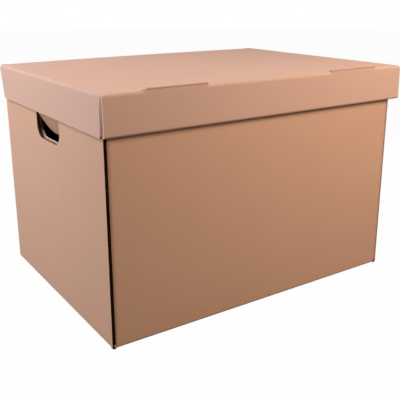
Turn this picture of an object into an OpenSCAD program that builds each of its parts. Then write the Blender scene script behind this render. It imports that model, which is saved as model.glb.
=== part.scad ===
// Archive box: a folded tray with rolled-over double ends, and a lid that is
// hinged on the rear wall and whose front skirt rolls over and locks in its top.
// Millimetres, +Z up. The origin is the centre of the tray's underside,
// and +X runs along the tray's long side.

/* [Tray] */
// Outside length of the tray, along X
tray_len = 450; // [320:1:600]
// Outside depth of the tray, along Y
tray_dep = 330; // [240:1:450]
// Height of the tray's top edge above the ground
tray_h = 300.5; // [200:0.5:450]

/* [Board] */
// Thickness of the corrugated board
board_t = 2.5; // [1.6:0.1:3.5]
// Thickness of each flat liner of the board
liner_t = 0.3; // [0.2:0.05:0.4]
// Thickness of the wavy paper between the liners
medium_t = 0.25; // [0.2:0.05:0.4]
// Distance from one flute's crest to the next
flute_pitch = 6.4; // [5:0.1:9]
// Inner radius of an ordinary fold
fold_r = 1.5; // [0.6:0.1:2.5]
// Inner radius of the tight folds where the board rolls over
roll_r = 1; // [0.3:0.1:1.2]
// Free space left between two plies that lie on each other
ply_gap = 0.2; // [0.1:0.05:0.5]
// How far the open flutes are modelled in from a cut edge
flute_reach = 6; // [2:0.5:15]

/* [Hand holes] */
// Width of the hand hole in each end, along Y
hand_w = 77; // [60:1:100]
// Height of the hand hole
hand_h = 40; // [32:1:55]
// Radius of the hand hole's lower corners
hand_corner_r = 16; // [4:0.5:18]
// Distance from the tray's top edge down to the hole's top
hand_drop = 40.5; // [25:0.5:80]
// Angle that the cut flap is pushed in by
hand_flap_angle = 29; // [10:1:40]
// Inner radius of the flap's soft bend
hand_flap_bend = 14; // [4:0.5:18]
// Radius of the flap's own lower corners
hand_flap_corner_r = 22; // [4:0.5:24]
// Width of the cut between the flap and the panel
hand_cut_w = 0.5; // [0.3:0.1:1.5]

/* [Tray locks] */
// Width of each tab that locks an inner end panel in the floor
floor_tab_w = 45; // [20:1:60]
// Distance of each tab's middle from the tray's middle, along Y
floor_tab_y = 90; // [60:1:95]
// Free space around a tab in its slot
tab_clear = 0.5; // [0.3:0.1:1]
// Free space between the corner flaps' ends and the hand hole
hand_flap_space = 9; // [4:0.5:20]

/* [Lid] */
// Depth of the lid's skirts, down from its top face
skirt_h = 47.5; // [30:0.5:80]
// Gap between the tray's front wall and the lid's inner skirt
lid_front_gap = 0.3; // [0.3:0.1:2]
// Gap between the tray and the lid's skirt at the -X end
lid_near_gap = 1.3; // [0.3:0.1:5]
// Gap between the tray and the lid's skirt at the +X end
lid_far_gap = 7.1; // [0.3:0.1:15]
// Length of the lid's corner flaps inside its front skirt
lid_flap_len = 38; // [15:1:45]
// Angle by which the rear edges of the end skirts slant forward
skirt_slant = 10; // [0:0.5:25]
// Gap at the crease between the rear wall and the lid
crease_gap = 0.2; // [0.1:0.05:0.5]

/* [Lid locks] */
// Length of each lock slot in the lid's top, along X
slot_len = 84; // [40:1:90]
// Distance from the lid's end to the nearer end of a slot
slot_inset = 51; // [20:1:60]
// Height of the front skirt's cut lips above the lid's top
lip_rise = 2.7; // [0:0.1:5]
// Gap between the lip's ends and the ends of its slot
lip_end_gap = 2; // [0.5:0.1:4]
// Height of the lock tabs above the lid's top
tab_rise = 0.5; // [0:0.1:1.5]
// Gap between a lock tab's ends and the ends of its slot
tab_end_gap = 3; // [0.5:0.1:6]

/* [Hidden] */
$fn = 48;
// Small extra length that lets a cutter pass a face
eps = 0.5;
// Smaller one by which two stretches of one sheet run into each other
lap = 0.05;
// Colour of the kraft board
kraft = [0.76, 0.60, 0.46];
kraft_lid = [0.80, 0.64, 0.51];

// Free space between an outer and an inner panel, for one ply
ply_space = board_t + 2 * ply_gap;
// Thickness of a wall of three plies
wall_t = 2 * board_t + ply_space;
// Outer radii of the two kinds of fold
fold_out = fold_r + board_t;
roll_in = min(roll_r, ply_space / 2 - lap);
roll_out = roll_in + board_t;
// Flat stretch across the top of a rolled-over wall
roll_flat = wall_t - 2 * roll_out;

// Height of the flutes, from liner to liner
flute_h = board_t - 2 * liner_t;

// Half sizes of the tray's outside, and of the layer inside its outer ends
tray_x = tray_len / 2;
tray_y = tray_dep / 2;
ply_x = tray_x - board_t - ply_gap;
// Place of the hand hole, and how far the corner flaps reach to it
hand_top = tray_h - hand_drop;
hand_low = hand_top - hand_h;
corner_flap = tray_y - hand_w / 2 - hand_flap_space - fold_out;

// Half length of the lid, its middle along X, its levels, and the crease
lid_len = tray_len + 2 * board_t + lid_near_gap + lid_far_gap;
lid_x = lid_len / 2;
lid_mid = (lid_far_gap - lid_near_gap) / 2;
lid_top = tray_h + board_t;
lid_low = lid_top - skirt_h;
crease_z = lid_top - fold_out;
// How far the front skirt and the ply inside it stand in front of the middle
lid_y = tray_y + wall_t + lid_front_gap;
lid_ply_y = lid_y - board_t - ply_gap;
// Middle of each lock slot, from the lid's middle
slot_x = lid_x - slot_inset - slot_len / 2;
// Half length of the lid's inner skirt, clear of its corner folds
inner_x = lid_x - fold_out - ply_gap;
// Half length of the long walls' flat part, between the corner folds
wall_x = ply_x - fold_out;

// Section of folded board. It runs along +X between y = 0 and board_t.
// Each step is [flat length, turn, inner radius]: a turn above 0 is to
// the left, below 0 to the right, and the next step goes on from there.
module board_run(steps, k = 0) {
    flat = steps[k][0];
    turn = steps[k][1];
    inner = steps[k][2];
    if (flat > 0) square([flat, board_t]);
    if (turn > 0)
        translate([flat, board_t + inner]) rotate(-90) ring_sector(inner, turn);
    if (turn < 0)
        translate([flat, -inner]) rotate(90 + turn) ring_sector(inner, -turn);
    if (k + 1 < len(steps)) {
        swing = turn > 0 ? inner + board_t : inner;
        side = turn > 0 ? 1 : -1;
        translate([flat + swing * sin(abs(turn)), side * swing * (1 - cos(turn))])
            rotate(turn) board_run(steps, k + 1);
    }
}

// Part of a ring of board, from +X round by an angle of up to 90 degrees
module ring_sector(inner, angle) {
    reach = 2 * (inner + board_t);
    far = reach * sqrt(2);
    intersection() {
        difference() {
            circle(inner + board_t);
            circle(inner);
        }
        polygon([[0, 0], [reach, 0], [far * cos(angle / 2), far * sin(angle / 2)],
                 [reach * cos(angle), reach * sin(angle)]]);
    }
}

// A section in X and Z, drawn as x and y, run along Y from one place to another
module along_y(from, to) {
    translate([0, to, 0]) rotate([90, 0, 0]) linear_extrude(to - from) children();
}

// A section in Y and Z, drawn as x and y, run along X to both sides
module along_x(half) {
    translate([-half, 0, 0]) rotate([90, 0, 90]) linear_extrude(2 * half) children();
}

// A solid and its mirror image across the plane x = 0 or y = 0
module both_x() {
    children();
    mirror([1, 0, 0]) children();
}

module both_y() {
    children();
    mirror([0, 1, 0]) children();
}

// Block around the middle whose upright corners have the folds' radius
module rounded_block(half_x, half_y, low, high) {
    translate([0, 0, low]) linear_extrude(high - low) {
        square([2 * half_x, 2 * (half_y - fold_out)], center = true);
        square([2 * (half_x - fold_out), 2 * half_y], center = true);
        for (sx = [-1, 1], sy = [-1, 1])
            translate([sx * (half_x - fold_out), sy * (half_y - fold_out)]) circle(fold_out);
    }
}

// Space between the liners in a cut edge of a given length along +X
module flute_groove(length) {
    translate([flute_pitch / 2, liner_t]) square([length - flute_pitch, flute_h]);
}

// Wavy paper in that space, clear of the liners by a hair
module flute_wave(length) {
    count = floor(length / flute_pitch) - 1;
    start = (length - count * flute_pitch) / 2;
    high = flute_h / 2 - lap;
    crest = flute_pitch / 12;
    wave = [for (k = [0 : count - 1], step = [[-crest, 1], [crest, 1], [1, -1], [2, -1]])
        [start + k * flute_pitch + (step[1] > 0 ? step[0] : flute_pitch / 2 + (2 * step[0] - 3) * crest),
         step[1]]];
    polygon([for (p = wave) [p[0], board_t / 2 + p[1] * (high - medium_t) + medium_t],
             for (k = [len(wave) - 1 : -1 : 0])
                 [wave[k][0], board_t / 2 + wave[k][1] * (high - medium_t) - medium_t]]);
}

// Outline of the hand hole in Y and Z, with its flap cut free by a margin
module hand_outline(margin, corner_r) {
    half = hand_w / 2 - margin;
    low = hand_low + margin;
    translate([-half, low + corner_r]) square([2 * half, hand_top - low - corner_r]);
    translate([-half + corner_r, low]) square([2 * (half - corner_r), 2 * corner_r]);
    for (side = [-1, 1])
        translate([side * (half - corner_r), low + corner_r]) circle(corner_r);
}

// The flap that was cut from the outer ply, hung from the hole's top and pushed in
module hand_flap() {
    half = hand_w / 2 - hand_cut_w;
    outer_r = hand_flap_bend + board_t;
    bend_len = outer_r * hand_flap_angle * PI / 180;
    // The soft bend, hung from a root that runs up into the outer ply
    translate([tray_x - outer_r, 0, hand_top - lap]) along_y(-half, half) {
        mirror([0, 1]) ring_sector(hand_flap_bend, hand_flap_angle);
        translate([hand_flap_bend, 0]) square([board_t, 2 * lap]);
    }
    // The flat rest of the flap, drawn as if it hung straight down and then swung
    translate([tray_x - outer_r, 0, hand_top - lap]) rotate([0, hand_flap_angle, 0])
        translate([hand_flap_bend, 0, 0]) rotate([90, 0, 90]) linear_extrude(board_t)
            intersection() {
                translate([0, bend_len + lap - hand_top]) hand_outline(hand_cut_w, hand_flap_corner_r);
                translate([-half, -hand_h]) square([2 * half, hand_h + lap]);
            }
}

// What lies just inside both cut edges of the +X end's outer ply, drawn up the edge
module cut_edges() {
    both_y() translate([tray_x - board_t, tray_y - ply_gap - flute_reach, fold_out])
        rotate([-90, -90, 0]) children();
}

// Outer ply of the +X end, from the floor's fold up to the fold at the top
module outer_end() {
    panel_h = tray_h - fold_out - roll_out;
    half = tray_y - ply_gap;
    difference() {
        translate([tray_x - fold_out, 0, 0]) along_y(-half, half)
            board_run([[0, 90, fold_r], [panel_h, 0, 0]]);
        translate([tray_x - board_t - eps, 0, 0]) rotate([90, 0, 90])
            linear_extrude(board_t + 2 * eps) hand_outline(0, hand_corner_r);
        cut_edges() linear_extrude(flute_reach + eps) flute_groove(panel_h);
    }
    cut_edges() translate([0, 0, -lap]) linear_extrude(flute_reach) flute_wave(panel_h);
    hand_flap();
}

// Inner ply of the +X end in Y and Z: a panel with a hand hole, on two tabs
module inner_outline() {
    half = tray_y - board_t - ply_gap;
    low = board_t + ply_gap;
    difference() {
        translate([-half, low]) square([2 * half, tray_h - roll_out - low]);
        hand_outline(0, hand_corner_r);
    }
    for (side = [-1, 1])
        translate([side * floor_tab_y - floor_tab_w / 2, ply_gap]) square([floor_tab_w, 2 * board_t]);
}

// Top and inner ply of the +X end, which roll over and come down to the floor
module inner_end() {
    half = tray_y - board_t - ply_gap;
    translate([tray_x, 0, tray_h - roll_out - lap]) along_y(-half, half)
        rotate(90) board_run([[lap, 90, roll_in], [roll_flat, 90, roll_in], [lap, 0, 0]]);
    translate([tray_x - wall_t, 0, 0]) rotate([90, 0, 90]) linear_extrude(board_t) inner_outline();
}

// Flap at the +X end of the -Y wall, folded in between the plies of the end
module corner_flap() {
    translate([wall_x, -tray_y, fold_out])
        linear_extrude(tray_h - board_t - ply_gap - fold_out)
            board_run([[0, 90, fold_r], [corner_flap, 0, 0]]);
}

// The +Y wall, with its fold up from the floor, to a given height
module long_wall(high) {
    translate([0, tray_y - fold_out, 0]) along_x(wall_x)
        board_run([[0, 90, fold_r], [high - fold_out, 0, 0]]);
}

// Floor, with the slots for the inner ends' tabs
module tray_floor() {
    slot_w = floor_tab_w + 2 * tab_clear;
    difference() {
        translate([fold_out - tray_x, fold_out - tray_y, 0])
            cube([2 * (tray_x - fold_out), 2 * (tray_y - fold_out), board_t]);
        both_x() for (side = [-1, 1])
            translate([tray_x - wall_t - tab_clear, side * floor_tab_y - slot_w / 2, -eps])
                cube([board_t + 2 * tab_clear, slot_w, board_t + 2 * eps]);
    }
}

// The whole tray. Its rear wall ends at the lid's crease.
module tray() {
    color(kraft) {
        tray_floor();
        long_wall(crease_z - crease_gap);
        mirror([0, 1, 0]) long_wall(tray_h);
        both_x() {
            outer_end();
            inner_end();
            both_y() corner_flap();
        }
    }
}

// Lid's top, back to the crease, with the two ears that cover the tray's rear corners
module lid_plate() {
    half = lid_x - fold_out;
    translate([-half, fold_out - lid_y, tray_h])
        cube([2 * half, tray_y + lid_y - 2 * fold_out, board_t]);
    for (side = [-1, 1]) {
        ear = half - wall_x - tab_clear + side * lid_mid;
        translate([side * (half - ear / 2), tray_y - fold_out, tray_h + board_t / 2])
            cube([ear, 2 * fold_out, board_t], center = true);
    }
}

// The fold at the crease, as long as the rear wall's flat part
module crease_fold() {
    translate([0, tray_y - fold_out, tray_h]) along_x(wall_x) board_run([[0, -90, fold_r]]);
}

// The front skirt's outer ply, with its folds, drawn at +Y
module outer_skirt() {
    intersection() {
        translate([0, lid_y - fold_out, tray_h]) along_x(lid_x - ply_gap)
            board_run([[0, -90, fold_r], [skirt_h - fold_out - roll_out, -90, roll_in], [roll_flat, 0, 0]]);
        along_y(0, lid_y + eps) end_envelope();
    }
}

// Outline of the lid seen along Y, with the rounding of its end folds
module end_envelope() {
    translate([-lid_x, lid_low - eps]) square([2 * lid_x, skirt_h - fold_out + eps]);
    translate([fold_out - lid_x, lid_low - eps]) square([2 * (lid_x - fold_out), skirt_h + eps]);
    for (side = [-1, 1])
        translate([side * (lid_x - fold_out), lid_top - fold_out]) circle(fold_out);
}

// The front skirt's inner ply, rolled up from its lower edge, with its lock tabs
module inner_skirt() {
    inner_y = lid_y - wall_t;
    translate([0, inner_y + roll_out, lid_low + board_t]) along_x(inner_x)
        rotate(180) board_run([[0, -90, roll_in], [tray_h - ply_gap - lid_low - roll_out, 0, 0]]);
    tab_len = slot_len - 2 * tab_end_gap;
    for (side = [-1, 1])
        translate([side * slot_x - tab_len / 2, inner_y, tray_h - ply_gap - eps])
            cube([tab_len, board_t, board_t + ply_gap + eps + tab_rise]);
}

// Cutters for the lock slots, through the top and its front fold
module lock_slots() {
    depth = wall_t + tab_clear;
    for (side = [-1, 1])
        translate([side * slot_x - slot_len / 2, lid_y - depth, lid_top - fold_out])
            cube([slot_len, depth + eps, fold_out + eps]);
}

// Lips of the front skirt that stand up in front of its lock slots
module lock_lips() {
    lip_len = slot_len - 2 * lip_end_gap;
    for (side = [-1, 1])
        translate([side * slot_x - lip_len / 2, lid_y - board_t, lid_top - fold_out - eps])
            cube([lip_len, board_t, fold_out + lip_rise + eps]);
}

// What the slanted rear edge of an end skirt leaves off, drawn in Y and Z
module slant_cut() {
    drop = skirt_h + eps;
    polygon([[tray_y, lid_top], [tray_y - drop * tan(skirt_slant), lid_top - drop],
             [tray_y + fold_out, lid_top - drop], [tray_y + fold_out, lid_top]]);
}

// The lid's +X end: a single skirt, and its flap inside the front skirt
module lid_end() {
    front = lid_ply_y - fold_out;
    difference() {
        translate([lid_x - fold_out, 0, tray_h]) along_y(-front, tray_y)
            board_run([[0, -90, fold_r], [skirt_h - fold_out, 0, 0]]);
        translate([lid_x, 0, 0]) along_x(fold_out + eps) slant_cut();
    }
    // The top fold goes on to the front corner, and is rounded with it
    intersection() {
        translate([lid_x - fold_out, 0, tray_h]) along_y(-lid_ply_y, -front)
            board_run([[0, -90, fold_r]]);
        rounded_block(lid_x, lid_ply_y, tray_h - fold_out, lid_top + eps);
    }
    flap_low = lid_low + board_t + ply_gap;
    mirror([0, 1, 0]) translate([lid_x, front, flap_low]) {
        linear_extrude(lid_top - fold_out - flap_low) rotate(90) board_run([[0, 90, fold_r]]);
        linear_extrude(tray_h - ply_gap - flap_low)
            translate([-fold_out - lid_flap_len, fold_out - board_t]) square([lid_flap_len, board_t]);
    }
}

// The whole lid, which lies a little to the +X side of the tray's middle
module lid() {
    color(kraft_lid) {
        translate([lid_mid, 0, 0]) {
            difference() {
                union() {
                    lid_plate();
                    mirror([0, 1, 0]) outer_skirt();
                }
                mirror([0, 1, 0]) lock_slots();
            }
            mirror([0, 1, 0]) {
                lock_lips();
                inner_skirt();
            }
            both_x() lid_end();
        }
        crease_fold();
    }
}

tray();
lid();
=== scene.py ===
"""Kraft archive box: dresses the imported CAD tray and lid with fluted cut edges,
soft folds, a kraft board finish and a plain studio."""

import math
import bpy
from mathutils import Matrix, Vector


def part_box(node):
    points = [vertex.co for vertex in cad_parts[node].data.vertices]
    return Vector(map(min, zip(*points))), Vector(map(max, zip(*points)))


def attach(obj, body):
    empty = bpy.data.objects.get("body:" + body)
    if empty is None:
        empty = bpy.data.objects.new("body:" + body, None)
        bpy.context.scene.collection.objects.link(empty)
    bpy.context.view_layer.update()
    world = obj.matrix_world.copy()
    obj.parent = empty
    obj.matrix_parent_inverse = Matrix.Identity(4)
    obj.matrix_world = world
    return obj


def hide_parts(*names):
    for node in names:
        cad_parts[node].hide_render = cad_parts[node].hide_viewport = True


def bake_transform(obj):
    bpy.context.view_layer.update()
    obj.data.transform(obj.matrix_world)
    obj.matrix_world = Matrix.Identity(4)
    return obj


bl_info = {
    "name": "Kraft Archive Box",
    "version": (1, 0, 0),
    "blender": (4, 5, 0),
    "location": "View3D > Sidebar > Archive Box",
    "description": "Builds a folded corrugated archive box around its CAD model",
    "category": "Add Mesh",
}

import bmesh
import bpy
from mathutils import Matrix, Vector

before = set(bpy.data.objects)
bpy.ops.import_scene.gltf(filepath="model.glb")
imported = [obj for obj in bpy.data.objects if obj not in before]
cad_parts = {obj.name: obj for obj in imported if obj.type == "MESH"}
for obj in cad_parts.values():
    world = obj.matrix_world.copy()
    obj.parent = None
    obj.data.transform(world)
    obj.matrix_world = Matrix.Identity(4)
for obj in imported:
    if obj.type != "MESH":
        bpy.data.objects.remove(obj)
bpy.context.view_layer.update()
TRAY_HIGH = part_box("tray")[1]
LID_LOW, LID_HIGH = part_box("lid")
MM = 0.001

# Sizes and places that the CAD solids share with the dressing, in metres
BOARD = 2.5 * MM
FOLD_OUT, FOLD_IN = 4 * MM, 1.5 * MM
TRAY_X, TRAY_Y, TRAY_H = TRAY_HIGH
LID_MID = (LID_LOW.x + LID_HIGH.x) / 2
LID_X = (LID_HIGH.x - LID_LOW.x) / 2
LID_TOP = TRAY_H + BOARD
CREASE_GAP = 0.2 * MM
CREASE = Vector((0, TRAY_Y, LID_TOP - FOLD_OUT - CREASE_GAP / 2))
SLANT = math.radians(10)

# The tray's long walls, its corners, and where its end plies lie below the end faces
WALL_X = TRAY_X - 6.7 * MM
WALL_MARGIN = 1 * MM
CORNER = 6.6 * MM
OUTER_PLY, INNER_PLY = BOARD / 2, 6.65 * MM
HOLE_Z = (TRAY_H - 80.5 * MM, TRAY_H - 40.5 * MM)
HOLE_HALF = 38.5 * MM
HOLE_SLACK = 0.2 * MM

# The outer plies' upright edges, with their ends and the folds beside them
EDGE_FOOT, EDGE_TOP = 5 * MM, 4 * MM
EDGE_FLUTE = (0.2 * MM, 2.3 * MM)
FOLD_SIDE = 5 * MM

# The near front corner: where its fold stands back, and its crushed foot
SOFT_FOLD, SOFT_REACH = 4.7 * MM, 2.1 * MM
SOFT_FROM, SOFT_SHARE = 2.7 * MM, 0.5
SOFT_FOOT, SOFT_TOP = 3.5 * MM, 2.3 * MM
CRUSHED_LOW = Vector((0.4, 0.5, 0.6)) * MM
CRUSHED_HIGH = Vector((6, 5, 5)) * MM

# The far front corner: the board pressed shut over its edge
SHUT_DEPTHS = (0.1 * MM, 4.8 * MM)
SHUT_Y = (0.3 * MM, 3 * MM)

# The slots in the lid's front fold with the plugs that close their ends, the lock tabs
# that stand in them, and the front skirt's side edges
SLOT_X = LID_X - 93 * MM
SLOT_HALF = 42 * MM
PLUG = 2 * MM
LAP = 0.05 * MM
TAB_HALF = 38 * MM
TAB_TOP = LID_TOP + 0.5 * MM
TAB_Y = LID_LOW.y + 6.65 * MM
SKIRT_END = 0.2 * MM
SKIRT_Y = LID_LOW.y + 8 * MM

# The pits at the slots' ends, and the lips in front of the slots
PIT_Y = (4.3 * MM, 8.2 * MM)
PIT_DEPTH = 2.2 * MM
PIT_LENGTHS = (3.5 * MM, 2.5 * MM)
LIP_FOOT, LIP_DEPTH = 0.6 * MM, 3 * MM
# Where the dark line of painted shade runs across the lips' fronts
SCORE_DEPTHS = (1.1 * MM, 2.0 * MM)

# The stop at the near slot's end, the pale strips, the grid that lets the lid bend, and
# the wavy paper in the slanted rear edges
STOP_LOW = Vector((0, 3.9, -2.5)) * MM
STOP_HIGH = Vector((1.1, 8.4, -0.4)) * MM
STRIP_TOP = 0.5 * MM
STRIP_IN = (0.5 * MM, 1.3 * MM)
GRID_STEP = 25 * MM
RIBBON_DROP, RIBBON_LENGTH = 1.5 * MM, 40 * MM

# How the lid's departures from square are shared out along its depth
SKEW_PIVOT = 0.2
BOW_START = 0.15
BOW_RISE = 1.4 * MM
LEAN_FRONT = 1.1

# Tolerances for finding faces, and the step between a cut edge and its groove
FACING = 0.9
SLACK = 0.1 * MM
GROOVE_STEP = 0.02 * MM
TINY = 1e-6

# The wavy paper: mesh steps in a wave, and how far it stands back from the cut edge
STEPS_A_WAVE = 8
FLUTE_SET_BACK = 0.25 * MM

# The places of a blank's materials, after its liner, and of those that one blank adds
# The cavity material is near-black painted shade for open flutes, pits and deep folds
CUT_EDGE, CAVITY_SHADE = 1, 2
# The hand holes' rims: one material painted dark as shade, one painted pale as lit
SHADED_RIM, LIT_RIM = 3, 4
# The score line across the lips: a dark line of painted shade
SCORE_SHADE = 3

# The camera, solved from the box's own edges
CAMERA_PLACE = (-0.50314, -0.76747, 0.40729)
CAMERA_YAW, CAMERA_PITCH, CAMERA_ROLL = 33.703, 16.346, -0.154
CAMERA_SHIFT = (0.00014, -0.06341)
SENSOR = 36
NEAREST = 0.05

# The lamps: place, size and colour, with the name of the setting for its power
LAMP_AIM = Vector((0, 0, 0.2))
COOL, WARM, CLEAR = (0.834, 0.90, 1.0), (1.0, 0.905, 0.80), (0.95, 1.0, 1.0)
LAMPS = {
    "key": ((-0.9, 0.3, 0.95), 0.5, COOL),
    "low": ((-1.1, 0.3, 0.6), 0.5, COOL),
    "top": ((0.1, 0.8, 1.6), 1.2, CLEAR),
    "front": ((0.25, -0.8, 0.85), 0.4, WARM),
    "side": ((0.5, -0.75, 0.7), 0.4, WARM),
}
WHITE, BLACK = (1, 1, 1, 1), (0, 0, 0, 1)
FLOOR_GLOW, FLOOR_SHARE = 1.085, 0.9
FLOOR_RADIUS, FLOOR_DROP = 6.0, 0.1 * MM


class BoardSettings(bpy.types.PropertyGroup):
    """The corrugated board and its cut edges."""

    thickness: bpy.props.FloatProperty(
        name="Board", description="Thickness of the board", default=BOARD, unit="LENGTH"
    )
    liner: bpy.props.FloatProperty(
        name="Liner", description="Thickness of each flat liner", default=0.3 * MM, unit="LENGTH"
    )
    paper: bpy.props.FloatProperty(
        name="Fluted paper", description="Thickness of the wavy paper",
        default=0.22 * MM, unit="LENGTH",
    )
    pitch: bpy.props.FloatProperty(
        name="Flute pitch", description="Distance between flute crests",
        default=6.4 * MM, unit="LENGTH",
    )
    depth: bpy.props.FloatProperty(
        name="Open depth", description="How far the flutes are open at a cut edge",
        default=4 * MM, unit="LENGTH",
    )


class LidSettings(bpy.types.PropertyGroup):
    """How the hand-folded lid departs from a perfect one."""

    skew: bpy.props.FloatProperty(
        name="Skew", description="How far the rear edge lies to the -X side of the front edge",
        default=2 * MM, unit="LENGTH",
    )
    bow: bpy.props.FloatProperty(
        name="Crease bow", description="Rise of the rear edge between its corners",
        default=1.0 * MM, unit="LENGTH",
    )
    flare: bpy.props.FloatProperty(
        name="Flare", description="How far the far skirt's lower edge stands out",
        default=1.5 * MM, unit="LENGTH",
    )
    lean: bpy.props.FloatProperty(
        name="Lean", description="How far the near skirt's lower rear corner leans in",
        default=0.9 * MM, unit="LENGTH",
    )


class FinishSettings(bpy.types.PropertyGroup):
    """Colours and surface of the kraft board."""

    # The tray and lid are one board; painted shade and painted light make these two copies of its
    # colour, the tray darker and more saturated, the lid lighter and paler
    tray_shaded_colour: bpy.props.FloatVectorProperty(
        name="Tray board", description="Colour of the tray's liner",
        subtype="COLOR", default=(0.605, 0.333, 0.214),
    )
    lid_lit_colour: bpy.props.FloatVectorProperty(
        name="Lid board", description="Colour of the lid's liner",
        subtype="COLOR", default=(0.614, 0.361, 0.263),
    )
    edge_colour: bpy.props.FloatVectorProperty(
        name="Cut edge", description="Colour of the liners' cut edges",
        subtype="COLOR", default=(0.66, 0.42, 0.30),
    )
    # Painted shade: near-black standing for the shade deep in open flutes, pits and folds
    cavity_shade_colour: bpy.props.FloatVectorProperty(
        name="Flute cavity", description="Colour deep between the liners",
        subtype="COLOR", default=(0.020, 0.006, 0.001),
    )
    # The wavy paper's own brown, painted darker to stand for the shade inside the open edges
    flute_paper: bpy.props.FloatVectorProperty(
        name="Fluted paper", description="Colour of the wavy paper",
        subtype="COLOR", default=(0.20, 0.11, 0.06),
    )
    # Painted shade: the hand holes' rims painted dark because they stand in shade
    rim_shade_colour: bpy.props.FloatVectorProperty(
        name="Dim rim", description="Colour of the hand holes' rims",
        subtype="COLOR", default=(0.12, 0.05, 0.025),
    )
    # Painted light: the inner ply's lower rim painted pale grey because light falls on it
    rim_lit_colour: bpy.props.FloatVectorProperty(
        name="Light rim", description="Colour of the inner ply's lower rim",
        subtype="COLOR", default=(0.62, 0.50, 0.46),
    )
    # Painted shade: a dark line standing for the shade of the crease across the lips
    score_shade_colour: bpy.props.FloatVectorProperty(
        name="Score line", description="Colour of the pressed line across the lips",
        subtype="COLOR", default=(0.44, 0.21, 0.13),
    )
    flute_shade: bpy.props.FloatProperty(
        name="Flute lines", description="How strongly the flutes show through the liner",
        default=0.004,
    )
    grain: bpy.props.FloatProperty(
        name="Grain", description="How strongly fibres and mottling show", default=0.06
    )


class StageSettings(bpy.types.PropertyGroup):
    """Camera, lamps and floor."""

    lens: bpy.props.FloatProperty(name="Lens", description="Focal length", default=56.932)
    key: bpy.props.FloatProperty(
        name="Key lamp", description="Power of the high lamp at the left", default=9.1, unit="POWER"
    )
    low: bpy.props.FloatProperty(
        name="Low lamp", description="Power of the low lamp at the left", default=6.2, unit="POWER"
    )
    top: bpy.props.FloatProperty(
        name="Top lamp", description="Power of the lamp overhead", default=3.8, unit="POWER"
    )
    front: bpy.props.FloatProperty(
        name="Front lamp", description="Power of the lamp in front", default=5.1, unit="POWER"
    )
    side: bpy.props.FloatProperty(
        name="Side lamp", description="Power of the lamp at the right", default=4.8, unit="POWER"
    )
    floor_colour: bpy.props.FloatVectorProperty(
        name="Floor", description="Colour of the floor",
        subtype="COLOR", default=(0.18, 0.18, 0.18),
    )


# Materials


def node(tree, kind, settings=None, **inputs):
    """Adds a node, sets its properties, and links or fills its inputs."""
    made = tree.nodes.new(kind)
    for key, value in (settings or {}).items():
        setattr(made, key, value)
    for key, value in inputs.items():
        by_number = key[0] == "i" and key[1:].isdigit()
        socket = made.inputs[int(key[1:]) if by_number else key]
        if isinstance(value, bpy.types.NodeSocket):
            tree.links.new(value, socket)
        else:
            socket.default_value = value
    return made


def maths(tree, operation, a, b=0.0):
    """The result of a Math node."""
    return node(tree, "ShaderNodeMath", {"operation": operation}, i0=a, i1=b).outputs[0]


def noise(tree, place, scale, detail, roughness):
    """The value of a noise texture at a place."""
    kind = "ShaderNodeTexNoise"
    return node(tree, kind, i0=place, Scale=scale, Detail=detail, Roughness=roughness).outputs[0]


def swing(tree, value, strength):
    """A noise value as a change about zero."""
    return maths(tree, "MULTIPLY", maths(tree, "SUBTRACT", value, 0.5), strength)


def new_material(name):
    """An empty node material with its output, as (material, tree, output)."""
    material = bpy.data.materials.new(name)
    material.use_nodes = True
    tree = material.node_tree
    tree.nodes.clear()
    return material, tree, tree.nodes.new("ShaderNodeOutputMaterial")


def board_shader(tree, output, colour, tone, bump, roughness, specular):
    """Ends a paper material: its colour times a grey tone, on a matt shader."""
    grey = node(tree, "ShaderNodeCombineColor", i0=tone, i1=tone, i2=tone)
    kinds = {"data_type": "RGBA", "blend_type": "MULTIPLY"}
    tint = node(tree, "ShaderNodeMix", kinds, i0=1.0, i6=(*colour, 1), i7=grey.outputs[0])
    shader = node(
        tree, "ShaderNodeBsdfPrincipled", Normal=bump.outputs[0], Roughness=roughness
    )
    shader.inputs["Specular IOR Level"].default_value = specular
    tree.links.new(tint.outputs[2], shader.inputs["Base Color"])
    tree.links.new(shader.outputs[0], output.inputs[0])


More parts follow.
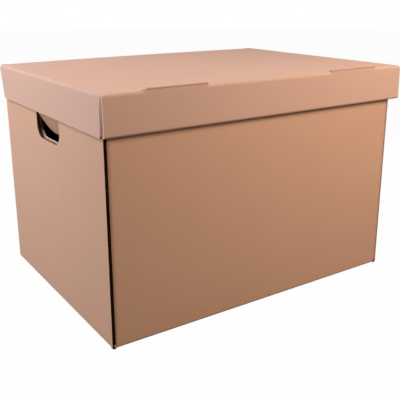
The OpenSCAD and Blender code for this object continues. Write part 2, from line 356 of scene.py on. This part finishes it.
def kraft_material(name, colour, board, finish):
    """Kraft liner: mottled fibres, with the flutes showing faintly through it."""
    material, tree, output = new_material(name)
    coords = tree.nodes.new("ShaderNodeTexCoord")
    place = coords.outputs["Object"]
    split = node(tree, "ShaderNodeSeparateXYZ", i0=place)
    facing = node(tree, "ShaderNodeSeparateXYZ", i0=coords.outputs["Normal"])
    # Flutes run along Y or upright, so they repeat along X, or along Z on the ends
    on_end = maths(tree, "GREATER_THAN", maths(tree, "ABSOLUTE", facing.outputs["X"]), 0.6)
    across = node(
        tree, "ShaderNodeMix", {"data_type": "FLOAT"},
        i0=on_end, i2=split.outputs["X"], i3=split.outputs["Z"],
    )
    turns = maths(tree, "MULTIPLY", across.outputs[0], 2 * math.pi / board.pitch)
    wave = maths(tree, "SINE", turns)
    # Mottling in hand-wide clouds, fine grain, and fibres drawn out along the sheet
    cloud = noise(tree, place, 16.0, 3.0, 0.55)
    grain = noise(tree, place, 620.0, 3.0, 0.65)
    stretched = node(tree, "ShaderNodeMapping", i0=place, Scale=(55.0, 260.0, 900.0))
    fibre = noise(tree, stretched.outputs[0], 1.0, 4.0, 0.6)
    tone = maths(
        tree, "ADD", swing(tree, cloud, 0.9 * finish.grain), swing(tree, grain, 1.6 * finish.grain)
    )
    tone = maths(tree, "ADD", tone, swing(tree, fibre, 1.4 * finish.grain))
    tone = maths(tree, "ADD", tone, maths(tree, "MULTIPLY", wave, finish.flute_shade))
    tone = maths(tree, "ADD", tone, 1.0)
    relief = maths(
        tree, "ADD", maths(tree, "MULTIPLY", grain, 0.35), maths(tree, "MULTIPLY", wave, 0.06)
    )
    relief = maths(tree, "ADD", maths(tree, "MULTIPLY", fibre, 0.5), relief)
    bump = node(tree, "ShaderNodeBump", Strength=0.35, Distance=0.12 * MM, Height=relief)
    rough = node(tree, "ShaderNodeMapRange", i0=grain, i3=0.68, i4=0.82)
    board_shader(tree, output, colour, tone, bump, rough.outputs[0], specular=0.35)
    return material


def paper_material(name, colour):
    """Raw cut paper: matt, with a short fuzzy grain."""
    material, tree, output = new_material(name)
    coords = tree.nodes.new("ShaderNodeTexCoord")
    fuzz = noise(tree, coords.outputs["Object"], 1400.0, 2.0, 0.5)
    ramp = node(tree, "ShaderNodeMapRange", i0=fuzz, i3=0.8, i4=1.2)
    bump = node(tree, "ShaderNodeBump", Strength=0.3, Distance=0.1 * MM, Height=fuzz)
    board_shader(tree, output, colour, ramp.outputs[0], bump, 0.9, specular=0.1)
    return material


def shared_material(name, colour):
    """A paper material that several pieces use, made once."""
    return bpy.data.materials.get(name) or paper_material(name, colour)


def finish_materials(context, slot_name, colour):
    """The liner, cut-edge and cavity materials of one blank, in slot order; the cavity material is
    near-black painted shade.
    """
    board, finish = context.scene.box_board, context.scene.box_finish
    return [
        kraft_material(slot_name, colour, board, finish),
        shared_material("cut_liner", finish.edge_colour),
        shared_material("flute_cavity", finish.cavity_shade_colour),
    ]


def seen_straight(tree):
    """1 for what the camera sees straight, in a mirror or through glass, and 0 for light."""
    path = tree.nodes.new("ShaderNodeLightPath").outputs
    other = maths(tree, "MAXIMUM", path["Is Glossy Ray"], path["Is Transmission Ray"])
    return maths(tree, "MAXIMUM", path["Is Camera Ray"], other)


def floor_material(colour):
    """A pale floor that the camera sees nearly white, with the object's shadow kept."""
    material, tree, output = new_material("pale_floor")
    shader = node(tree, "ShaderNodeBsdfDiffuse", Color=(*colour, 1))
    glow = node(tree, "ShaderNodeEmission", Color=WHITE, Strength=FLOOR_GLOW)
    share = maths(tree, "MULTIPLY", seen_straight(tree), FLOOR_SHARE)
    mix = node(
        tree, "ShaderNodeMixShader", i0=share, i1=shader.outputs[0], i2=glow.outputs[0]
    )
    tree.links.new(mix.outputs[0], output.inputs[0])
    return material


def room_world():
    """A room that looks white and sheds no light of its own."""
    world = bpy.data.worlds.new("room")
    world.use_nodes = True
    tree = world.node_tree
    tree.nodes.clear()
    white = node(tree, "ShaderNodeBackground", Color=WHITE, Strength=1.0)
    dark = node(tree, "ShaderNodeBackground", Color=BLACK, Strength=0.0)
    mix = node(
        tree, "ShaderNodeMixShader",
        i0=seen_straight(tree), i1=dark.outputs[0], i2=white.outputs[0],
    )
    out = tree.nodes.new("ShaderNodeOutputWorld")
    tree.links.new(mix.outputs[0], out.inputs[0])
    return world


# Meshes


def merged_copy(cad_node):
    """A bmesh of a CAD node's mesh, with its loose triangles merged to plain faces."""
    bm = bmesh.new()
    bm.from_mesh(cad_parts[cad_node].data)
    bmesh.ops.remove_doubles(bm, verts=bm.verts, dist=2e-6)
    bmesh.ops.dissolve_limit(
        bm, angle_limit=math.radians(0.4), verts=bm.verts, edges=bm.edges,
        use_dissolve_boundaries=False,
    )
    for face in bm.faces:
        face.material_index = 0
    return bm


def open_rim(bm, pick, board, depth):
    """Opens the cut edge on the chosen faces: two liner edges with a groove between, the groove
    painted near-black as shade.
    """
    rim = [f for f in bm.faces if pick(f.calc_center_median(), f.normal)]
    if not rim:
        raise RuntimeError("an open cut edge found no face")
    inset = {"faces": rim, "use_even_offset": True, "use_boundary": True}
    flat = bmesh.ops.inset_region(bm, thickness=board.liner, **inset)
    for face in flat["faces"]:
        face.material_index = CUT_EDGE
    wall = bmesh.ops.inset_region(bm, thickness=GROOVE_STEP, depth=-depth, **inset)
    # The groove's floor and walls are painted near-black as shade
    for face in rim + wall["faces"]:
        face.material_index = CAVITY_SHADE


def add_block(bm, low, high):
    """Adds an upright block between two corners."""
    made = bmesh.ops.create_cube(bm, size=1.0)["verts"]
    low, high = Vector(low), Vector(high)
    bmesh.ops.scale(bm, vec=high - low, verts=made)
    bmesh.ops.translate(bm, vec=(low + high) / 2, verts=made)


def add_fold(bm, x0, x1):
    """Adds a short stretch of the lid's front fold between two places along X."""
    before = set(bm.faces)
    centre = Vector((x0, LID_LOW.y + FOLD_OUT, LID_TOP - FOLD_OUT))
    ends = [bm.verts.new(centre + Vector((0, 0, radius))) for radius in (FOLD_IN, FOLD_OUT)]
    bmesh.ops.spin(
        bm, geom=[*ends, bm.edges.new(ends)], cent=centre, axis=(1, 0, 0),
        angle=math.radians(90), steps=8,
    )
    section = [face for face in bm.faces if face not in before]
    pulled = bmesh.ops.extrude_face_region(bm, geom=section)["geom"]
    verts = [item for item in pulled if isinstance(item, bmesh.types.BMVert)]
    bmesh.ops.translate(bm, vec=(x1 - x0, 0, 0), verts=verts)
    made = [face for face in bm.faces if face not in before]
    bmesh.ops.recalc_face_normals(bm, faces=made)


def flute_ribbon(bm, board, start, along, across, inward, length):
    """Wavy paper that shows in an open cut edge, from start along the edge."""
    waves = max(2, round(length / board.pitch))
    high = board.thickness / 2 - board.liner - board.paper / 2 - GROOVE_STEP
    made = bmesh.ops.create_grid(
        bm, x_segments=waves * STEPS_A_WAVE, y_segments=1, size=0.5
    )
    for vert in made["verts"]:
        u, v = vert.co.x + 0.5, vert.co.y + 0.5
        sway = high * math.cos(2 * math.pi * u * waves)
        deep = FLUTE_SET_BACK + v * board.depth
        vert.co = start + along * (u * length) + inward * deep + across * sway
    faces = list({f for vert in made["verts"] for f in vert.link_faces})
    bmesh.ops.recalc_face_normals(bm, faces=faces)
    bmesh.ops.solidify(bm, geom=faces, thickness=board.paper)


def soften(mesh, angle):
    """Shades folds round and panels flat: a corner's normal is led by its largest faces."""
    around = [[] for _ in mesh.vertices]
    for face in mesh.polygons:
        for index in face.vertices:
            around[index].append((face.normal.copy(), face.area))
    limit = math.cos(angle)
    normals = []
    for face in mesh.polygons:
        own = face.normal
        for index in face.vertices:
            total = Vector((0, 0, 0))
            for normal, area in around[index]:
                if own.dot(normal) > limit:
                    total += normal * area
            normals.append(total.normalized() if total.length > 1e-12 else own.copy())
    mesh.polygons.foreach_set("use_smooth", [True] * len(mesh.polygons))
    mesh.normals_split_custom_set(normals)


def make_piece(bm, name, materials, body):
    """Turns a bmesh into a piece with soft folds that rides on a body, if it has one."""
    bmesh.ops.triangulate(bm, faces=[f for f in bm.faces if len(f.verts) > 4])
    mesh = bpy.data.meshes.new(name)
    bm.to_mesh(mesh)
    bm.free()
    for material in materials:
        mesh.materials.append(material)
    soften(mesh, math.radians(50))
    piece = bpy.data.objects.new(name, mesh)
    bpy.context.scene.collection.objects.link(piece)
    if body:
        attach(piece, body)
    return piece


def near(value, target, slack=SLACK):
    """True where two lengths agree."""
    return abs(value - target) < slack


def smooth_step(value, low, high):
    """0 below low, 1 above high, and smooth between."""
    t = min(1.0, max(0.0, (value - low) / (high - low)))
    return t * t * (3 - 2 * t)


def settle_lid(bm, lid):
    """Lets the lid sit as a hand-folded one: askew, its crease bowed, its skirts off square."""
    for vert in bm.verts:
        x, y, z = vert.co
        back = (y - LID_LOW.y) / (LID_HIGH.y - LID_LOW.y)
        down = max(0.0, LID_TOP - z) / (LID_TOP - LID_LOW.z)
        vert.co.x += (SKEW_PIVOT - back) * lid.skew
        above = min(1.0, max(0.0, (z - CREASE.z) / BOW_RISE))
        crown = max(0.0, 1 - ((x - LID_MID) / LID_X) ** 2)
        vert.co.z += lid.bow * crown * above * smooth_step(y, 0.0, BOW_START)
        if x > TRAY_X:
            vert.co.x += lid.flare * down
        elif x < -TRAY_X:
            vert.co.x += lid.lean * down * ((1 + LEAN_FRONT) * back - LEAN_FRONT)


def cut_plane(bm, geom, place, normal):
    """Cuts the mesh on a plane, without a gap."""
    bmesh.ops.bisect_plane(bm, geom=geom, dist=TINY, plane_co=place, plane_no=normal)


def whole(bm):
    """All of a bmesh, as an operator takes it."""
    return bm.verts[:] + bm.edges[:] + bm.faces[:]


def on_top(face):
    """True for a face of the lid's flat top."""
    return face.normal.z > FACING and near(face.calc_center_median().z, LID_TOP)


def skirt_middles(board):
    """Where the middles of the end skirts' boards lie along X."""
    return LID_LOW.x + board.thickness / 2, LID_HIGH.x - board.thickness / 2


def press_pit(bm, x0, x1):
    """Sinks a small hole in the lid's top, just behind its front fold, painted near-black as shade.
    """
    y0, y1 = LID_LOW.y + PIT_Y[0], LID_LOW.y + PIT_Y[1]
    for place, normal in (
        ((x0, 0, 0), (1, 0, 0)), ((x1, 0, 0), (1, 0, 0)),
        ((0, y0, 0), (0, 1, 0)), ((0, y1, 0), (0, 1, 0)),
    ):
        top = [f for f in bm.faces if on_top(f)]
        rest = {e for f in top for e in f.edges} | {v for f in top for v in f.verts}
        cut_plane(bm, [*top, *rest], place, normal)
    pit = []
    for face in bm.faces:
        c = face.calc_center_median()
        if on_top(face) and x0 < c.x < x1 and y0 < c.y < y1:
            pit.append(face)
    wall = bmesh.ops.inset_region(
        bm, faces=pit, thickness=GROOVE_STEP, depth=-PIT_DEPTH, use_even_offset=True
    )
    for face in pit + wall["faces"]:
        face.material_index = CAVITY_SHADE


def paint_lip_shade_and_edges(bm):
    """Paints a dark line across the lips' fronts where the fold's score runs, below their pale cut
    edges: painted shade for the crease.
    """
    low, high = LID_HIGH.z - SCORE_DEPTHS[1], LID_HIGH.z - SCORE_DEPTHS[0]
    for height in (high, low):
        cut_plane(bm, whole(bm), (0, 0, height), (0, 0, 1))
    for face in bm.faces:
        c = face.calc_center_median()
        if c.z > LID_TOP + LIP_FOOT and c.y < LID_LOW.y + LIP_DEPTH:
            if face.normal.y < -FACING and low < c.z < high:
                face.material_index = SCORE_SHADE
            elif face.normal.z > FACING:
                face.material_index = CUT_EDGE


def cut_grid(bm, low, high, step):
    """Cuts the mesh on evenly spaced planes across X and Y, so that it can bend."""
    for axis in (0, 1):
        normal = Vector((0, 0, 0))
        normal[axis] = 1
        count = int((high[axis] - low[axis]) / step)
        for k in range(1, count):
            point = Vector((0, 0, 0))
            point[axis] = low[axis] + (high[axis] - low[axis]) * k / count
            cut_plane(bm, whole(bm), point, normal)


# Stage


def view_turn(yaw, pitch, roll):
    """Camera rotation for a view along +Y, turned right by yaw and down by pitch, in degrees."""
    aside = Matrix.Rotation(math.radians(-yaw), 3, "Z")
    down = Matrix.Rotation(math.radians(90 - pitch), 3, "X")
    return (aside @ down @ Matrix.Rotation(math.radians(roll), 3, "Z")).to_euler()


def area_lamp(name, place, aim, size, power, colour):
    """Adds a square soft lamp that faces aim."""
    data = bpy.data.lights.new(name, "AREA")
    data.size = size
    data.energy = power
    data.color = colour
    lamp = bpy.data.objects.new(name, data)
    lamp.location = place
    lamp.rotation_euler = (aim - Vector(place)).to_track_quat("-Z", "Y").to_euler()
    bpy.context.scene.collection.objects.link(lamp)


def photo_camera(scene, lens):
    """Adds the camera and looks through it."""
    data = bpy.data.cameras.new("camera")
    data.lens = lens
    data.sensor_width = SENSOR
    data.shift_x, data.shift_y = CAMERA_SHIFT
    data.clip_start = NEAREST
    camera = bpy.data.objects.new("camera", data)
    camera.location = CAMERA_PLACE
    camera.rotation_euler = view_turn(CAMERA_YAW, CAMERA_PITCH, CAMERA_ROLL)
    scene.collection.objects.link(camera)
    scene.camera = camera


def pale_floor(scene, colour):
    """Adds the round floor, just below the box."""
    bm = bmesh.new()
    bmesh.ops.create_circle(bm, cap_ends=True, radius=FLOOR_RADIUS, segments=64)
    bmesh.ops.translate(bm, vec=(0, 0, -FLOOR_DROP), verts=bm.verts)
    mesh = bpy.data.meshes.new("floor")
    bm.to_mesh(mesh)
    bm.free()
    mesh.materials.append(floor_material(colour))
    floor = bpy.data.objects.new("floor", mesh)
    scene.collection.objects.link(floor)


# Operators


class BOX_OT_tray_board(bpy.types.Operator):
    """Builds the tray from the CAD blank, with the cut edges of its board opened"""

    bl_idname = "archive_box.tray_board"
    bl_label = "Tray board"

    def execute(self, context):
        board, finish = context.scene.box_board, context.scene.box_finish
        bm = merged_copy("tray")
        open_rim(
            bm, lambda c, n: n.z > FACING and near(c.z, TRAY_H) and c.y < BOARD + SLACK - TRAY_Y,
            board, board.depth,
        )
        # The flutes that the blank itself opens in the outer plies' upright edges, the liners' cut
        # edges there, and the deep side of the folds beside them, all painted near-black as shade
        for face in bm.faces:
            c, n = face.calc_center_median(), face.normal
            depth = TRAY_X - abs(c.x)
            if abs(c.y) > TRAY_Y - CORNER and EDGE_FOOT < c.z < TRAY_H - EDGE_TOP:
                flute = EDGE_FLUTE[0] < depth < EDGE_FLUTE[1]
                liner = depth < BOARD - SLACK and abs(n.y) > FACING
                fold = BOARD + SLACK < depth < FOLD_SIDE and abs(n.x) > 0.7
                if flute or liner or fold:
                    face.material_index = CAVITY_SHADE
        # The near front corner, whose fold is soft and whose foot is crushed
        for vert in bm.verts:
            depth = vert.co.x + TRAY_X
            height = vert.co.z
            if (
                near(depth, SOFT_FOLD, SOFT_REACH) and vert.co.y < CORNER - TRAY_Y
                and SOFT_FOOT < height < TRAY_H - SOFT_TOP
            ):
                vert.co.x += (depth - SOFT_FROM) * SOFT_SHARE
        foot = Vector((-TRAY_X, -TRAY_Y, 0))
        add_block(bm, foot + CRUSHED_LOW, foot + CRUSHED_HIGH)
        # The rims of the hand holes: painted dark as shade, but for the inner ply's upward lower
        # edge, painted pale grey as lit
        for face in bm.faces:
            c, n = face.calc_center_median(), face.normal
            depth = TRAY_X - abs(c.x)
            in_hole = (
                abs(c.y) < HOLE_HALF + HOLE_SLACK
                and HOLE_Z[0] - HOLE_SLACK < c.z < HOLE_Z[1] - HOLE_SLACK and abs(n.x) < 0.1
            )
            if in_hole and near(depth, OUTER_PLY):
                face.material_index = SHADED_RIM
            elif in_hole and near(depth, INNER_PLY):
                face.material_index = LIT_RIM if n.z > 0.5 else SHADED_RIM
        # The far front corner, where the ply's edge is pressed shut against the wall's fold
        add_block(
            bm, (TRAY_X - SHUT_DEPTHS[1], SHUT_Y[0] - TRAY_Y, EDGE_FOOT),
            (TRAY_X - SHUT_DEPTHS[0], SHUT_Y[1] - TRAY_Y, TRAY_H - EDGE_FOOT),
        )
        materials = finish_materials(context, "kraft_tray", finish.tray_shaded_colour)
        materials.append(shared_material("dim_rim", finish.rim_shade_colour))
        materials.append(shared_material("grey_rim", finish.rim_lit_colour))
        piece = make_piece(bm, "tray_board", materials, "tray")
        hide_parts("tray")
        return {"FINISHED"}


class BOX_OT_tray_flutes(bpy.types.Operator):
    """Adds the wavy paper in the tray's open top edge"""

    bl_idname = "archive_box.tray_flutes"
    bl_label = "Tray flutes"

    def execute(self, context):
        board, finish = context.scene.box_board, context.scene.box_finish
        bm = bmesh.new()
        half = WALL_X - WALL_MARGIN
        flute_ribbon(
            bm, board, Vector((-half, board.thickness / 2 - TRAY_Y, TRAY_H)),
            Vector((1, 0, 0)), Vector((0, 1, 0)), Vector((0, 0, -1)), 2 * half,
        )
        paper = shared_material("flute_paper", finish.flute_paper)
        make_piece(bm, "tray_flutes", [paper], "tray")
        return {"FINISHED"}


class BOX_OT_lid_board(bpy.types.Operator):
    """Builds the lid from the CAD blank, with its cut edges opened, and settles it"""

    bl_idname = "archive_box.lid_board"
    bl_label = "Lid board"

    def execute(self, context):
        board, finish = context.scene.box_board, context.scene.box_finish
        bm = merged_copy("lid")
        paint_lip_shade_and_edges(bm)
        # The slots' ends, where the fold goes on and leaves only a small hole behind it
        near_slot, far_slot = LID_MID - SLOT_X, LID_MID + SLOT_X
        for mid in (near_slot, far_slot):
            add_fold(bm, mid - SLOT_HALF - LAP, mid - SLOT_HALF + PLUG + LAP)
            add_fold(bm, mid + SLOT_HALF - PLUG - LAP, mid + SLOT_HALF + LAP)
        corner = Vector((near_slot - SLOT_HALF, LID_LOW.y, LID_TOP))
        add_block(bm, corner + STOP_LOW, corner + STOP_HIGH)
        # The holes torn a little wider at the slots' far ends
        press_pit(bm, near_slot + SLOT_HALF, near_slot + SLOT_HALF + PIT_LENGTHS[0])
        press_pit(bm, far_slot + SLOT_HALF, far_slot + SLOT_HALF + PIT_LENGTHS[1])
        # The front skirt's side edges, which show as pale strips at the corners
        for face in bm.faces:
            c = face.calc_center_median()
            at_end = near(abs(c.x - LID_MID), LID_X - SKIRT_END)
            if abs(face.normal.x) > FACING and at_end and c.y < SKIRT_Y:
                face.material_index = CUT_EDGE
        for vert in bm.verts:
            x, y, z = vert.co
            below = CREASE.z - z
            at_end = near(x, LID_MID - LID_X + SKIRT_END)
            if at_end and below > -STRIP_TOP and y < SKIRT_Y + SKIRT_END:
                vert.co.x += STRIP_IN[0] + STRIP_IN[1] * below / (CREASE.z - LID_LOW.z)
        # The tops of the lock tabs
        open_rim(bm, lambda c, n: n.z > FACING and near(c.z, TAB_TOP), board, board.depth / 2)
        # The lower and rear edges of the end skirts
        for x in skirt_middles(board):
            open_rim(
                bm,
                lambda c, n, x=x: near(c.x, x) and abs(n.x) < 0.1 and c.z < CREASE.z
                and (n.z < -0.5 or n.y > 0.5) and c.y > -TRAY_Y,
                board, board.depth,
            )
        cut_grid(bm, LID_LOW, LID_HIGH, GRID_STEP)
        settle_lid(bm, context.scene.box_lid)
        materials = finish_materials(context, "kraft_lid", finish.lid_lit_colour)
        materials.append(shared_material("score_line", finish.score_shade_colour))
        piece = make_piece(bm, "lid_board", materials, "lid")
        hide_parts("lid")
        return {"FINISHED"}


class BOX_OT_lid_flutes(bpy.types.Operator):
    """Adds the wavy paper in the lid's lock tabs and slanted rear edges"""

    bl_idname = "archive_box.lid_flutes"
    bl_label = "Lid flutes"

    def execute(self, context):
        board, finish = context.scene.box_board, context.scene.box_finish
        bm = bmesh.new()
        along, across, inward = Vector((1, 0, 0)), Vector((0, 1, 0)), Vector((0, 0, -1))
        for mid in (LID_MID - SLOT_X, LID_MID + SLOT_X):
            start = Vector((mid - TAB_HALF, TAB_Y, TAB_TOP))
            flute_ribbon(bm, board, start, along, across, inward, 2 * TAB_HALF)
        down = Vector((0, -math.sin(SLANT), -math.cos(SLANT)))
        forward = Vector((0, -math.cos(SLANT), math.sin(SLANT)))
        top_z = CREASE.z - RIBBON_DROP
        top_y = TRAY_Y - (LID_TOP - top_z) * math.tan(SLANT)
        for x in skirt_middles(board):
            flute_ribbon(bm, board, Vector((x, top_y, top_z)), down, along, forward, RIBBON_LENGTH)
        settle_lid(bm, context.scene.box_lid)
        paper = shared_material("flute_paper", finish.flute_paper)
        make_piece(bm, "lid_flutes", [paper], "lid")
        return {"FINISHED"}


class BOX_OT_crease(bpy.types.Operator):
    """Fills the crease between the rear wall and the lid with a thin strip of board"""

    bl_idname = "archive_box.crease"
    bl_label = "Crease"

    def execute(self, context):
        board = context.scene.box_board
        bm = bmesh.new()
        bmesh.ops.create_cube(bm, size=1.0)
        size = (2 * WALL_X, board.thickness, CREASE_GAP + GROOVE_STEP)
        bmesh.ops.scale(bm, vec=size, verts=bm.verts)
        middle = CREASE - Vector((0, board.thickness / 2, 0))
        bmesh.ops.translate(bm, vec=middle, verts=bm.verts)
        upright = [e for e in bm.edges if abs(e.verts[0].co.z - e.verts[1].co.z) > SLACK]
        bmesh.ops.subdivide_edges(bm, edges=upright, cuts=15, use_grid_fill=True)
        board_finish = bpy.data.materials["kraft_tray"]
        piece = make_piece(bm, "crease_fold", [board_finish], None)
        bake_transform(piece)
        return {"FINISHED"}


class BOX_OT_stage(bpy.types.Operator):
    """Sets the camera, soft lamps, room light and pale floor"""

    bl_idname = "archive_box.stage"
    bl_label = "Stage"

    def execute(self, context):
        scene, stage = context.scene, context.scene.box_stage
        photo_camera(scene, stage.lens)
        for name, (place, size, colour) in LAMPS.items():
            area_lamp(f"{name}_lamp", place, LAMP_AIM, size, getattr(stage, name), colour)
        scene.world = room_world()
        pale_floor(scene, stage.floor_colour)
        scene.view_settings.view_transform = "Standard"
        return {"FINISHED"}


class BOX_PT_panel(bpy.types.Panel):
    """Lists the box's pieces in the sidebar"""

    bl_idname = "BOX_PT_panel"
    bl_label = "Archive Box"
    bl_space_type = "VIEW_3D"
    bl_region_type = "UI"
    bl_category = "Archive Box"

    def draw(self, context):
        for operator in OPERATORS:
            self.layout.operator(operator.bl_idname)
        for name in GROUPS:
            settings = getattr(context.scene, name)
            box = self.layout.box()
            for key in settings.__annotations__:
                box.prop(settings, key)


OPERATORS = (
    BOX_OT_tray_board, BOX_OT_tray_flutes, BOX_OT_lid_board,
    BOX_OT_lid_flutes, BOX_OT_crease, BOX_OT_stage,
)
GROUPS = {
    "box_board": BoardSettings, "box_lid": LidSettings,
    "box_finish": FinishSettings, "box_stage": StageSettings,
}


def register():
    for group in GROUPS.values():
        bpy.utils.register_class(group)
    for name, group in GROUPS.items():
        setattr(bpy.types.Scene, name, bpy.props.PointerProperty(type=group))
    for cls in (*OPERATORS, BOX_PT_panel):
        bpy.utils.register_class(cls)


def unregister():
    for cls in (BOX_PT_panel, *reversed(OPERATORS)):
        bpy.utils.unregister_class(cls)
    for name, group in reversed(GROUPS.items()):
        delattr(bpy.types.Scene, name)
        bpy.utils.unregister_class(group)


def main():
    register()
    bpy.ops.archive_box.tray_board()
    bpy.ops.archive_box.tray_flutes()
    bpy.ops.archive_box.lid_board()
    bpy.ops.archive_box.lid_flutes()
    bpy.ops.archive_box.crease()
    bpy.ops.archive_box.stage()


if __name__ == "__main__":
    main()
